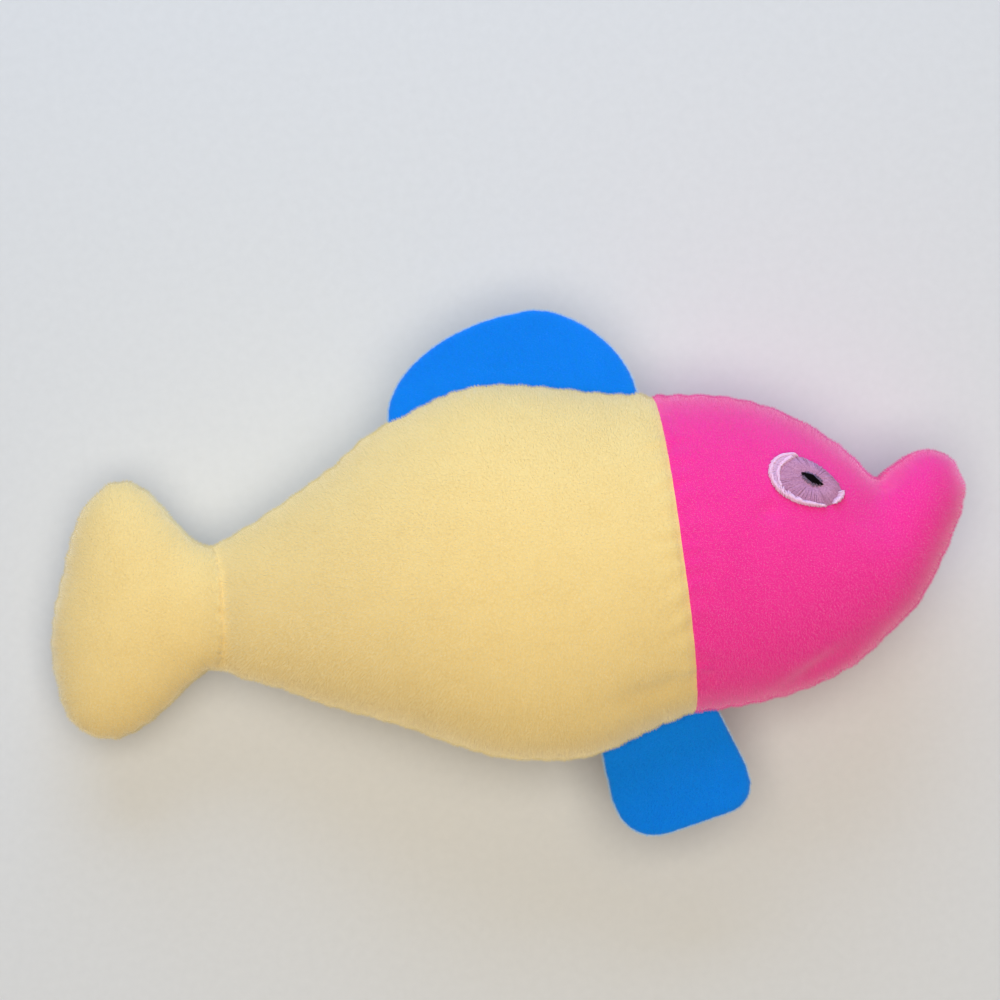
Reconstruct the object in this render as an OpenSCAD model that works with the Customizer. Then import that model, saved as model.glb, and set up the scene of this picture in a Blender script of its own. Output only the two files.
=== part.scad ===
// Stuffed fish pet toy, lying on its side.
// X runs from the tail to the snout, Y from the belly to the back and Z up from the table.
// The origin is on the table, under the widest part of the body.

/* [Body] */
// Length from the waist seam to the neck seam
body_length = 128; // [105:1:150]
// Distance from the widest part to the neck seam
neck_reach = 47; // [38:1:60]
// Height of the back over the centre line at the widest part
back_height = 50.3; // [44:0.1:56]
// Depth of the belly under the centre line
belly_depth = 54.3; // [46:0.1:60]
// How far the deepest part of the belly lies in front of the widest part
belly_forward = 13; // [0:0.5:20]
// Thickness from side to side at the widest part
body_thickness = 69; // [58:0.5:80]
// How much the weight flattens the side that lies on the table
table_flattening = 3; // [1:0.1:5]
// Depth of the flat patch that the body rests on
rest_cut = 0.5; // [0.2:0.1:1]

/* [Neck and waist] */
// Height of the neck seam over the centre line
neck_top = 42.4; // [36:0.1:44]
// Depth of the neck seam under the centre line
neck_bottom = 45.8; // [38:0.1:47]
// Thickness at the neck seam
neck_thickness = 62; // [52:0.5:68]
// Height of the waist seam over the centre line
waist_top = 16.5; // [13:0.1:20]
// Depth of the waist seam under the centre line
waist_bottom = 19; // [15:0.1:22]
// Thickness at the waist seam
waist_thickness = 25; // [20:0.5:30]
// How far the waist hangs under the level of the body's seam
waist_sag = 8; // [4:0.5:12]
// Slope of the back where it leaves the waist
back_slope = 0.25; // [0.1:0.05:0.5]
// Slope of the belly where it leaves the waist
belly_slope = 0.37; // [0.1:0.05:0.5]

/* [Head] */
// Length from the neck seam to the tip of the snout
head_length = 81.5; // [65:0.5:100]
// Distance from the neck seam to the corner of the mouth
mouth_reach = 57; // [48:0.5:60]
// Height of the corner of the mouth over the centre line
mouth_height = 13.3; // [8:0.1:18]
// Height of the lower lip over the centre line
lip_height = 18.8; // [15:0.1:24]
// Height of the tip of the snout over the centre line
snout_height = 7.5; // [2:0.1:10]
// Length over which the lip rounds into the snout
lip_round = 10.5; // [9:0.5:16]
// Thickness of the snout before it rounds off
snout_thickness = 26; // [20:0.5:30]

/* [Tail] */
// Length from the waist seam to the rear edge
tail_length = 47.5; // [36:0.5:60]
// Height of the upper lobe over the centre line
upper_lobe = 38; // [28:0.1:44]
// Distance of the upper lobe from the waist seam
upper_lobe_reach = 22; // [16:0.5:26]
// Depth of the lower lobe under the centre line
lower_lobe = 35.2; // [26:0.1:40]
// Distance of the lower lobe from the waist seam
lower_lobe_reach = 32; // [24:0.5:33]
// Depth of the rearmost point under the centre line
tail_end_depth = 8; // [4:0.1:12]
// Thickness of the tail
tail_thickness = 30; // [26:0.5:36]
// How far the tail drops from the waist to its rear edge
tail_sag = 4; // [0:0.5:6]
// Angle that the tail can bend to either side at the waist
tail_bend = 30; // [10:1:32]

/* [Cloth and filling] */
// Thickness of the plush cloth with its pile
plush = 2; // [1.5:0.1:2.5]
// Room between the cloth and the filling, where the threads run
filling_gap = 0.8; // [0.7:0.05:0.9]
// Thickness of the sewing thread
thread = 0.25; // [0.15:0.05:0.3]
// Room round the tail's root inside the body
root_gap = 0.5; // [0.4:0.05:0.8]

/* [Fins] */
// Thickness of one layer of fin cloth
fin_cloth = 1.5; // [1:0.1:1.8]
// Room between a fin and the seam that it stands in
fin_gap = 0.6; // [0.5:0.05:0.8]
// Height of a fin's fold line over the seam
fold_rise = 3; // [2.6:0.1:5]
// Distance from the neck seam to the front end of the back fin
back_fin_setback = 5.5; // [3:0.5:12]
// Length of the back fin along the seam
back_fin_length = 68.5; // [50:0.5:76]
// Height of the back fin over the line between its ends
back_fin_rise = 26; // [18:0.5:34]
// Part of the back fin's length that lies behind its highest point
back_fin_lean = 0.62; // [0.4:0.01:0.7]
// Distance from the neck seam back to the rear end of the belly fin
belly_fin_setback = 26.2; // [18:0.1:30]
// Distance from the neck seam forward to the front end of the belly fin
belly_fin_lead = 5.5; // [2:0.1:10]
// Length of the belly fin away from the body
belly_fin_drop = 27; // [20:0.5:34]
// How much wider the belly fin is at its free end, on each side
belly_fin_flare = 2.2; // [0:0.1:4]
// Radius of the belly fin's rear corner
belly_fin_rear_round = 11.5; // [6:0.5:12]
// Radius of the belly fin's front corner
belly_fin_front_round = 8; // [5:0.5:12]

/* [Eyes] */
// Distance from the neck seam to the centre of an eye
eye_reach = 36; // [30:0.5:44]
// Height of an eye over the centre line
eye_height = 13.7; // [8:0.1:18]
// Length of the white of an eye
eye_length = 21; // [14:0.5:24]
// Width of the white of an eye
eye_width = 12.6; // [8:0.2:15]
// Angle that an eye tips down to the snout
eye_tilt = 28; // [0:1:40]
// Length of a pupil
pupil_length = 8; // [5:0.5:10]
// Width of a pupil
pupil_width = 4.4; // [3:0.2:6]
// Thickness of the stitched white
eye_stitch = 0.7; // [0.4:0.1:1]
// Thickness of the stitched pupil
pupil_stitch = 0.5; // [0.3:0.1:0.8]
// Room under a stitched patch
stitch_gap = 0.1; // [0.05:0.05:0.2]

/* [Squeaker] */
// Largest diameter of the squeaker's bulb
bulb_diameter = 40; // [30:0.5:44]
// Length of the bulb without its neck
bulb_length = 46; // [36:0.5:54]
// Wall of the bulb
bulb_wall = 1.2; // [0.8:0.1:1.6]
// Outer diameter of the bulb's neck
neck_tube = 14; // [12:0.5:16]
// Length of the bulb's neck
neck_tube_length = 7; // [6:0.5:9]
// Diameter of the air hole through the plug
air_hole = 4; // [3:0.5:5]
// Thickness of the plug's rim
plug_rim = 1.6; // [1:0.1:2]
// Thickness of the reed
reed = 0.4; // [0.2:0.05:0.6]
// Width of the reed
reed_width = 2.6; // [1.5:0.1:2.8]
// Room between the plug and the neck, and round the reed
plug_gap = 0.1; // [0.05:0.05:0.2]
// Room between the squeaker and the filling
pocket_gap = 0.4; // [0.2:0.1:0.8]

/* [View] */
// Sub-part to draw, or all of them

/* [Hidden] */
$fn = 48;
around = 12;
inner = plush + filling_gap;
blunt = inner + 1;
neck_x = neck_reach;
waist_x = neck_x - body_length;
snout_x = neck_x + head_length;
mouth_x = neck_x + mouth_reach;
tail_x = waist_x - tail_length;
seam_height = body_thickness / 2 - table_flattening - rest_cut;
waist_z = seam_height - waist_sag;
tail_z = waist_z - tail_sag;
root = waist_thickness / 2;
root_mid = (waist_top - waist_bottom) / 2;
root_half = (waist_top + waist_bottom) / 2;
lip_x = waist_x + root * tan(tail_bend) + 1;
cover_angle = asin((lip_x - waist_x - 0.6) / root);

// Smooth curve through knots of [x, value, slope], in order of rising x.
function span(knots, x, k = 0) = k >= len(knots) - 2 || x <= knots[k + 1][0] ? k : span(knots, x, k + 1);
function blend(a, b, x) =
    let (w = b[0] - a[0], t = (x - a[0]) / w, r = 1 - t)
    a[1] * r * r * (1 + 2 * t) + b[1] * t * t * (3 - 2 * t) + w * (a[2] * t * r * r - b[2] * t * t * r);
function curve(knots, x) = let (k = span(knots, x)) blend(knots[k], knots[k + 1], x);

// Rounds an edge off to its end: 1 where s is 0, 0 where s is 1.
function rounded(s, p = 2, q = 0.5) = s <= 0 ? 1 : s >= 1 ? 0 : pow(1 - pow(s, p), q);

// A row is one cross section: [x, top, bottom, near rise, far drop, far fullness, seam height].
function seam_at(x) = curve([
    [tail_x, tail_z, 0.05], [waist_x, waist_z, 0.13], [0, seam_height, 0], [snout_x, seam_height, 0]
], x);
function back_edge(x) = curve([
    [waist_x, waist_top, back_slope], [0, back_height, 0], [neck_x, neck_top, -0.1]
], x);
function belly_edge(x) = -curve([
    [waist_x, waist_bottom, belly_slope], [belly_forward, belly_depth, 0], [neck_x, neck_bottom, -0.1]
], x);
function body_row(x, inset) = [
    x,
    back_edge(x) - inset,
    belly_edge(x) + inset,
    curve([
        [waist_x, root, 0.3], [0, body_thickness / 2, 0], [neck_x, neck_thickness / 2, -0.15]
    ], x) - inset,
    curve([
        [waist_x, root, 0.25], [0, seam_height + rest_cut, 0], [neck_x, neck_thickness / 2 - rest_cut, -0.05]
    ], x) - inset,
    curve([[waist_x, 1, 0], [0, 0.75, 0], [neck_x, 0.8, 0]], x),
    seam_at(x)
];

function head_top(x) =
    x <= mouth_x
    ? curve([[neck_x, neck_top, -0.02], [mouth_x, mouth_height, -1.25]], x)
    : snout_height + (curve([
        [mouth_x, mouth_height, 0.5], [snout_x - lip_round, lip_height, 0.1], [snout_x, lip_height, 0]
    ], x) - snout_height) * rounded((x - snout_x + lip_round) / lip_round);
function head_bottom(x) =
    snout_height - (snout_height + neck_bottom) * rounded((x - neck_x) / head_length, 2.75, 0.75);
function head_round(x) = rounded((x - mouth_x - 6) / (snout_x - mouth_x - 6));
function head_row(x, inset) = [
    neck_x + (x - neck_x) * (head_length - inset) / head_length,
    max(head_top(x), snout_height + blunt) - inset,
    min(head_bottom(x), snout_height - blunt) + inset,
    (curve([[neck_x, neck_thickness / 2, -0.15], [snout_x, snout_thickness / 2, -0.3]], x) - inset)
        * head_round(x),
    (curve([[neck_x, neck_thickness / 2 - rest_cut, -0.1], [snout_x, snout_thickness / 2, -0.3]], x) - inset)
        * head_round(x),
    0.8 + 0.2 * (x - neck_x) / head_length,
    seam_at(x)
];

function tail_top(x) =
    let (lobe_x = waist_x - upper_lobe_reach)
    x >= lobe_x
    ? curve([[lobe_x, upper_lobe, 0], [waist_x, waist_top, -0.25]], x)
    : (upper_lobe + tail_end_depth) * rounded((lobe_x - x) / (lobe_x - tail_x), 1.8, 0.58) - tail_end_depth;
function tail_bottom(x) =
    let (lobe_x = waist_x - lower_lobe_reach)
    x >= lobe_x
    ? curve([[lobe_x, -lower_lobe, 0], [waist_x, -waist_bottom, -0.1]], x)
    : (tail_end_depth - lower_lobe) * rounded((lobe_x - x) / (lobe_x - tail_x), 2.2) - tail_end_depth;
function tail_round(x) = rounded((waist_x - 0.5 * tail_length - x) / (0.5 * tail_length));
function tail_half(x) = curve([
    [tail_x, 0.45 * tail_thickness, 0.1],
    [waist_x - 0.45 * tail_length, tail_thickness / 2, 0],
    [waist_x, root, 0]
], x);
function tail_row(x, inset) = [
    waist_x + (x - waist_x) * (tail_length - inset) / tail_length,
    max(tail_top(x), blunt - tail_end_depth) - inset,
    min(tail_bottom(x), -blunt - tail_end_depth) + inset,
    (tail_half(x) - inset) * tail_round(x),
    (tail_half(x) - inset) * tail_round(x),
    1,
    seam_at(x)
];

// The tail's root is a round knob about the line that the tail bends on.
function root_row(angle, inset) = [
    waist_x + (root - inset) * sin(angle),
    root_mid + (root_half - inset) * cos(angle),
    root_mid - (root_half - inset) * cos(angle),
    (root - inset) * cos(angle),
    (root - inset) * cos(angle),
    1,
    waist_z
];

function body_rows(inset, from_x = lip_x) =
    [for (k = [0:16]) body_row(from_x + (neck_x - from_x) * k / 16, inset)];
function head_rows(inset) = concat(
    [for (k = [0:7]) head_row(neck_x + mouth_reach * k / 8, inset)],
    [for (k = [0:8]) head_row(mouth_x + (snout_x - mouth_x) * sin(90 * k / 8), inset)]
);
function tail_rows(inset) = [for (k = [11:-1:0]) tail_row(waist_x - tail_length * sin(90 * k / 11), inset)];

// Points of one row on the near side (side 1) or the far side (side -1), from the back to the belly.
function half_ring(row, side) = [
    for (k = [0:around])
        let (a = 180 * k / around, mid = (row[1] + row[2]) / 2, half = (row[1] - row[2]) / 2)
        [
            row[0],
            mid + half * cos(a),
            side > 0 ? row[6] + row[3] * sin(a) : row[6] - row[4] * pow(max(sin(a), 0), row[5])
        ]
];
function full_ring(row) =
    let (far = half_ring(row, -1))
    concat(half_ring(row, 1), [for (k = [around - 1:-1:1]) far[k]]);
function flipped(faces, flip) = flip ? [for (f = faces) [f[2], f[1], f[0]]] : faces;
function quads(n, m, start, wrap) = [
    for (i = [0:n - 2], k = [0:m - (wrap ? 1 : 2)])
        let (a = start + i * m + k, b = start + i * m + (k + 1) % m)
        each wrap ? [[a, a + m, b + m], [a, b + m, b]] : [[a, a + m, b], [a + m, b + m, b]]
];

// A piece of cloth between two nets of points.
module cloth(outer, lining, flip) {
    n = len(outer);
    m = len(outer[0]);
    s = n * m;
    ends = [for (k = [0:m - 2]) each [
        [k, k + 1, s + k + 1], [k, s + k + 1, s + k],
        [s - m + k + 1, s - m + k, 2 * s - m + k], [s - m + k + 1, 2 * s - m + k, 2 * s - m + k + 1]
    ]];
    seams = [for (i = [0:n - 2]) let (a = i * m, b = a + m - 1) each [
        [a + m, a, s + a], [a + m, s + a, s + a + m],
        [b, b + m, s + b + m], [b, s + b + m, s + b]
    ]];
    faces = concat(quads(n, m, 0, false), flipped(quads(n, m, s, false), true), ends, seams);
    polyhedron([for (r = concat(outer, lining)) each r], flipped(faces, flip), convexity = 6);
}

// A solid through closed rings of points, with flat ends.
module loft(rings, flip = false) {
    n = len(rings);
    m = len(rings[0]);
    caps = [for (k = [1:m - 2]) each [[0, k, k + 1], [(n - 1) * m, (n - 1) * m + k + 1, (n - 1) * m + k]]];
    polyhedron([for (r = rings) each r], flipped(concat(quads(n, m, 0, true), caps), flip), convexity = 6);
}

// A thread along a path. The path keeps at right angles to the direction up.
module sewn_thread(path, up, closed = false) {
    n = len(path);
    rings = [
        for (i = [0:closed ? n : n - 1])
            let (
                p = path[i % n],
                ahead = closed ? path[(i + 1) % n] : path[min(i + 1, n - 1)],
                back = closed ? path[(i + n - 1) % n] : path[max(i - 1, 0)],
                run = (ahead - back) / norm(ahead - back),
                side = cross(run, up) / norm(cross(run, up)),
                over = cross(run, side)
            )
            [for (k = [0:5]) p + thread / 2 * (side * cos(60 * k) + over * sin(60 * k))]
    ];
    if (closed) {
        points = [for (i = [0:n - 1]) each rings[i]];
        faces = [
            for (i = [0:n - 1], k = [0:5])
                let (here = 6 * i, next = 6 * ((i + 1) % n), l = (k + 1) % 6)
                each [[here + k, next + k, next + l], [here + k, next + l, here + l]]
        ];
        polyhedron(points, faces, convexity = 4);
    } else {
        loft(rings);
    }
}

module panel(outer, lining, side) {
    cloth([for (r = outer) half_ring(r, side)], [for (r = lining) half_ring(r, side)], side < 0);
}

module body_near_panel() {
    color("#f0d596")
        panel(body_rows(0), body_rows(plush), 1);
}

module body_far_panel() {
    color("#f0d596")
        difference() {
            panel(body_rows(0), body_rows(plush), -1);
            translate([-body_length, -belly_depth, -10])
                cube([2 * body_length, belly_depth + back_height, 10]);
        }
}

module head_near_panel() {
    color("#e84a96")
        panel(head_rows(0), head_rows(plush), 1);
}

module head_far_panel() {
    color("#e84a96")
        panel(head_rows(0), head_rows(plush), -1);
}

module tail_panel(side) {
    root_angles = [for (k = [1:4]) cover_angle * k / 4];
    color("#f0d596")
        panel(
            concat(tail_rows(0), [for (a = root_angles) root_row(a, 0)]),
            concat(tail_rows(plush), [for (a = root_angles) root_row(a, plush)]),
            side
        );
}

module tail_near_panel() {
    tail_panel(1);
}

module tail_far_panel() {
    tail_panel(-1);
}

// Half of the body's filling. Its rear end is hollowed out for the tail's root.
module body_filling(side) {
    hollow = -root_gap;
    start_x = lip_x + 2;
    first = asin((start_x - waist_x) / (root - hollow));
    rows = concat(
        [for (k = [5:-1:0]) root_row(first + (85 - first) * k / 5, hollow)],
        body_rows(inner, start_x)
    );
    color("#f7f6f2")
        difference() {
            loft([for (r = rows) half_ring(r, side)], side < 0);
            squeaker_place()
                squeaker_pocket();
        }
}

module body_near_filling() {
    body_filling(1);
}

module body_far_filling() {
    body_filling(-1);
}

module head_filling() {
    rows = head_rows(inner);
    color("#f7f6f2")
        loft([for (k = [0:len(rows) - 2]) full_ring(rows[k])]);
}

module tail_filling() {
    rows = concat(tail_rows(inner), [for (k = [1:6]) root_row(80 * k / 6, inner)]);
    color("#f7f6f2")
        loft([for (k = [1:len(rows) - 1]) full_ring(rows[k])]);
}

// Back fin: a lopsided dome over the line between its two ends on the back seam.
back_fin_front = neck_x - back_fin_setback;
back_fin_rear = back_fin_front - back_fin_length;
back_fin_peak = back_fin_rear + back_fin_lean * back_fin_length;
function back_fin_base(x) = back_edge(x) + fin_gap;
function back_fin_chord(x) =
    back_fin_base(back_fin_rear)
    + (back_fin_base(back_fin_front) - back_fin_base(back_fin_rear)) * (x - back_fin_rear) / back_fin_length;
function back_fin_outline() = concat(
    [for (k = [0:20]) let (x = back_fin_rear + back_fin_length * k / 20) [x, back_fin_base(x)]],
    [for (k = [1:35])
        let (
            a = 180 * k / 36,
            reach = a < 90 ? back_fin_front - back_fin_peak : back_fin_peak - back_fin_rear,
            full = a < 90 ? 1.2 : 1.05,
            x = back_fin_peak + reach * sign(cos(a)) * pow(abs(cos(a)), full)
        )
        [x, back_fin_chord(x) + back_fin_rise * pow(sin(a), full)]
    ]
);

module back_fin_layer(level) {
    color("#0d7dde")
        translate([0, 0, seam_height + level])
            linear_extrude(fin_cloth)
                polygon(back_fin_outline());
}

module back_fin_near_layer() {
    back_fin_layer(0);
}

module back_fin_far_layer() {
    back_fin_layer(-fin_cloth);
}

// Belly fin: a paddle with round corners across the neck seam.
function under_edge(x) = x <= neck_x ? belly_edge(x) : head_bottom(x);
belly_fin_rear = [neck_x - belly_fin_setback, under_edge(neck_x - belly_fin_setback) - fin_gap];
belly_fin_front = [neck_x + belly_fin_lead, under_edge(neck_x + belly_fin_lead) - fin_gap];
belly_fin_base = norm(belly_fin_front - belly_fin_rear);
belly_fin_along = (belly_fin_front - belly_fin_rear) / belly_fin_base;
belly_fin_out = [belly_fin_along[1], -belly_fin_along[0]];
function belly_fin_point(u, v) = belly_fin_rear + u * belly_fin_along + v * belly_fin_out;
function belly_fin_outline() =
    let (
        front_u = belly_fin_base + belly_fin_flare - belly_fin_front_round,
        front_v = belly_fin_drop - belly_fin_front_round,
        rear_u = belly_fin_rear_round - belly_fin_flare,
        rear_v = belly_fin_drop - belly_fin_rear_round
    )
    concat(
        [for (k = [0:10])
            let (x = belly_fin_rear[0] + (belly_fin_front[0] - belly_fin_rear[0]) * k / 10)
            [x, under_edge(x) - fin_gap]
        ],
        [for (k = [0:8]) let (a = 90 * k / 8) belly_fin_point(
            front_u + belly_fin_front_round * cos(a), front_v + belly_fin_front_round * sin(a)
        )],
        [for (k = [0:8]) let (a = 90 + 90 * k / 8) belly_fin_point(
            rear_u + belly_fin_rear_round * cos(a), rear_v + belly_fin_rear_round * sin(a)
        )]
    );

module belly_fin_layer(level) {
    color("#0d7dde")
        translate([0, 0, seam_height + level])
            linear_extrude(fin_cloth)
                polygon(belly_fin_outline());
}

module belly_fin_near_layer() {
    belly_fin_layer(0);
}

module belly_fin_far_layer() {
    belly_fin_layer(-fin_cloth);
}

// Point of the head's cover over [x, y], lifted off it.
function head_z(x, y, side) =
    let (
        r = head_row(x, 0),
        v = (2 * y - r[1] - r[2]) / (r[1] - r[2]),
        s = sqrt(max(1 - v * v, 0))
    )
    side > 0 ? r[6] + r[3] * s : r[6] - r[4] * pow(s, r[5]);
function on_head(x, y, side, lift) =
    let (
        z = head_z(x, y, side),
        gx = (head_z(x + 0.5, y, side) - head_z(x - 0.5, y, side)),
        gy = (head_z(x, y + 0.5, side) - head_z(x, y - 0.5, side)),
        n = [-gx, -gy, 1] * side / norm([gx, gy, 1])
    )
    [x, y, z] + lift * n;
function eye_ring(long, wide, share, side, lift) = [
    for (k = [0:23])
        let (
            u = share * long / 2 * cos(15 * k),
            v = share * wide / 2 * sin(15 * k)
        )
        on_head(
            neck_x + eye_reach + u * cos(eye_tilt) + v * sin(eye_tilt),
            eye_height - u * sin(eye_tilt) + v * cos(eye_tilt),
            side,
            lift
        )
];

// A stitched patch that follows the head's cover.
module stitched(long, wide, side, low, high) {
    shares = [0.15, 0.45, 0.75, 1];
    loft(
        concat(
            [for (s = shares) eye_ring(long, wide, s, side, low)],
            [for (k = [3:-1:0]) eye_ring(long, wide, shares[k] - (k == 3 ? 0.05 : 0), side, high)]
        ),
        side < 0
    );
}

module eye_white(side) {
    color("#f2eef4")
        stitched(eye_length, eye_width, side, stitch_gap, stitch_gap + eye_stitch);
}

module eye_pupil(side) {
    low = 2 * stitch_gap + eye_stitch;
    color("#121216")
        stitched(pupil_length, pupil_width, side, low, low + pupil_stitch);
}

module near_eye_white() {
    eye_white(1);
}

module near_eye_pupil() {
    eye_pupil(1);
}

module far_eye_white() {
    eye_white(-1);
}

module far_eye_pupil() {
    eye_pupil(-1);
}

// Squeaker: its axis lies along the body, with the plug to the tail.
module squeaker_place() {
    translate([0, 0, seam_height])
        rotate([0, -90, 0])
            children();
}

function bulb_arc(grow) =
    let (
        r = bulb_diameter / 2 + grow,
        h = bulb_length / 2 + grow,
        n = neck_tube / 2 + grow,
        top = acos(n / r)
    )
    [for (k = [0:20]) let (a = -90 + (90 + top) * k / 20) [max(r * cos(a), 0), h * sin(a)]];

neck_end = bulb_length / 2 + neck_tube_length - 1;

module squeaker_pocket() {
    pocket_end = neck_end + plug_rim + pocket_gap;
    rotate_extrude()
        polygon(concat(
            bulb_arc(pocket_gap),
            [[neck_tube / 2 + pocket_gap, pocket_end], [0, pocket_end]]
        ));
}

module squeaker_bulb() {
    inside = bulb_arc(-bulb_wall);
    color("#e9e4d2")
        squeaker_place()
            rotate_extrude()
                polygon(concat(
                    bulb_arc(0),
                    [[neck_tube / 2, neck_end], [neck_tube / 2 - bulb_wall, neck_end]],
                    [for (k = [20:-1:0]) inside[k]]
                ));
}

module squeaker_plug() {
    stem = neck_tube / 2 - bulb_wall - plug_gap;
    color("#d9d9d9")
        squeaker_place()
            difference() {
                union() {
                    translate([0, 0, neck_end - neck_tube_length])
                        cylinder(h = neck_tube_length, r = stem);
                    translate([0, 0, neck_end])
                        cylinder(h = plug_rim, r = neck_tube / 2);
                }
                translate([0, 0, neck_end - neck_tube_length - 1])
                    cylinder(h = neck_tube_length + plug_rim + 2, d = air_hole);
                translate([-reed_width / 2 - plug_gap, -stem * 0.75, neck_end - neck_tube_length - 1])
                    cube([reed_width + 2 * plug_gap, stem * 1.5, reed + plug_gap + 1]);
            }
}

module squeaker_reed() {
    stem = neck_tube / 2 - bulb_wall - plug_gap;
    color("#c8a85a")
        squeaker_place()
            translate([-reed_width / 2, -stem * 0.75 + plug_gap, neck_end - neck_tube_length])
                cube([reed_width, stem * 1.5 - 2 * plug_gap, reed]);
}

// Threads run in the room between the cloth and the filling.
in_seam = plush + filling_gap / 2;
function seam_point(row, top) = [row[0], top ? row[1] : row[2], row[6]];

module back_seam_thread() {
    rows = body_rows(in_seam, lip_x + 2.5);
    color("#e8d9ae")
        sewn_thread([for (k = [0:15]) seam_point(rows[k], true)], [0, 0, 1]);
}

module belly_seam_thread() {
    rows = body_rows(in_seam, lip_x + 2.5);
    color("#e8d9ae")
        sewn_thread([for (k = [0:15]) seam_point(rows[k], false)], [0, 0, 1]);
}

module head_seam_thread() {
    rows = head_rows(in_seam);
    last = len(rows) - 1;
    color("#d83f88")
        sewn_thread(
            concat(
                [for (k = [1:last]) seam_point(rows[k], true)],
                [for (k = [last:-1:1]) seam_point(rows[k], false)]
            ),
            [0, 0, 1]
        );
}

module tail_seam_thread() {
    rows = tail_rows(in_seam);
    last = len(rows) - 2;
    color("#e8d9ae")
        sewn_thread(
            concat(
                [for (k = [last:-1:0]) seam_point(rows[k], true)],
                [for (k = [0:last]) seam_point(rows[k], false)]
            ),
            [0, 0, 1]
        );
}

module neck_seam_thread() {
    color("#d83f88")
        sewn_thread(full_ring(body_row(neck_x, in_seam)), [1, 0, 0], true);
}

module waist_seam_thread() {
    color("#e8d9ae")
        sewn_thread(full_ring(root_row(0, in_seam)), [1, 0, 0], true);
}

body_near_panel();
body_far_panel();
body_near_filling();
body_far_filling();
head_near_panel();
head_far_panel();
head_filling();
tail_near_panel();
tail_far_panel();
tail_filling();
back_fin_near_layer();
back_fin_far_layer();
belly_fin_near_layer();
belly_fin_far_layer();
near_eye_white();
near_eye_pupil();
far_eye_white();
far_eye_pupil();
squeaker_bulb();
squeaker_plug();
squeaker_reed();
back_seam_thread();
belly_seam_thread();
head_seam_thread();
tail_seam_thread();
neck_seam_thread();
waist_seam_thread();
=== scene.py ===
import bpy
import bmesh
import math
import numpy as np
import random
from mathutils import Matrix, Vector, noise
from mathutils.bvhtree import BVHTree


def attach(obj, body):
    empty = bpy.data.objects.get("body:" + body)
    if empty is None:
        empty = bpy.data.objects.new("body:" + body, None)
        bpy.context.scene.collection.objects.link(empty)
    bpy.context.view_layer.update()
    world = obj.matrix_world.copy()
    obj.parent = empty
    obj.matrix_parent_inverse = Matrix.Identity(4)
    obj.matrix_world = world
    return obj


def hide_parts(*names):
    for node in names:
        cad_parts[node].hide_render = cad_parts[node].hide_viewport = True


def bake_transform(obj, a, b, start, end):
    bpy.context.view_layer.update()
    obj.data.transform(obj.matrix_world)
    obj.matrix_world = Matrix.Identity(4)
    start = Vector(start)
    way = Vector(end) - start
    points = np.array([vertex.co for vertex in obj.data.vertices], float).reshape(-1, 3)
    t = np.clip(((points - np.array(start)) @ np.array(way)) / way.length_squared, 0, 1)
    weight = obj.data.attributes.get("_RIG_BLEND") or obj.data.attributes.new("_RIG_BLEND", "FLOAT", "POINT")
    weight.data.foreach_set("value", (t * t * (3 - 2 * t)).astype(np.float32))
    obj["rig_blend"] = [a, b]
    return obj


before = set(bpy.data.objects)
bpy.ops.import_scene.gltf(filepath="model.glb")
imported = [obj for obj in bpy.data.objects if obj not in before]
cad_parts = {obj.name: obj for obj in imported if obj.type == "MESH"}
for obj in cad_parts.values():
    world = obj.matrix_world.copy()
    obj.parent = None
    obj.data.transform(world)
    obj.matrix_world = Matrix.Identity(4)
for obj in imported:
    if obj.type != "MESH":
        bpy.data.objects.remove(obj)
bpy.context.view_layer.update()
scene = bpy.context.scene

# The stuffed cover: six panels of short-pile plush, sewn edge to edge, turned right side out and stuffed
# through the belly seam. It is made as one stuffed bag first, so that the cloth runs on smoothly from
# body to head and tail, and is then parted along its seams.
NECK, WAIST, TAIL_END = 0.047, -0.081, -0.1285  # along the toy: the two cross seams and the tail's end
SEAM_Z, WAIST_Z, TAIL_Z = 0.031, 0.023, 0.019  # the outline seam's height at the body, waist and tail's end
PANELS = [f"{part}_{side}_panel" for part in ("body", "head", "tail") for side in ("near", "far")]
FILLINGS = ["body_near_filling", "body_far_filling", "head_filling", "tail_filling"]


def copied(names):
    """One bmesh of the named CAD nodes, each with its loose triangles merged."""
    whole = bmesh.new()
    for name in names:
        one = bmesh.new()
        one.from_mesh(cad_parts[name].data)
        bmesh.ops.remove_doubles(one, verts=one.verts, dist=1e-6)
        mesh = bpy.data.meshes.new("copy")
        one.to_mesh(mesh)
        one.free()
        whole.from_mesh(mesh)
        bpy.data.meshes.remove(mesh)
    return whole


def laid_out(name, bm):
    """A new smooth object in the scene, at the origin, from a bmesh."""
    mesh = bpy.data.meshes.new(name)
    bm.to_mesh(mesh)
    bm.free()
    obj = bpy.data.objects.new(name, mesh)
    scene.collection.objects.link(obj)
    mesh.shade_smooth()
    return obj


def settled(obj):
    """Applies an object's modifiers to its mesh."""
    graph = bpy.context.evaluated_depsgraph_get()
    mesh = bpy.data.meshes.new_from_object(obj.evaluated_get(graph))
    obj.modifiers.clear()
    old, obj.data = obj.data, mesh
    bpy.data.meshes.remove(old)


def remeshed(obj, step):
    """Makes one skin of all that an object holds, of squares of that size."""
    remesh = obj.modifiers.new("remesh", "REMESH")
    remesh.mode = "VOXEL"
    remesh.voxel_size = step
    settled(obj)


def evened(obj, times, group=""):
    """Smooths an object that many times over, in one vertex group or everywhere."""
    even = obj.modifiers.new("even", "SMOOTH")
    even.factor = 0.5
    even.iterations = times
    even.vertex_group = group
    settled(obj)


def refined(obj, levels):
    """Splits an object's faces into smooth smaller ones, that many times over."""
    fine = obj.modifiers.new("fine", "SUBSURF")
    fine.levels = fine.render_levels = levels
    settled(obj)


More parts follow.
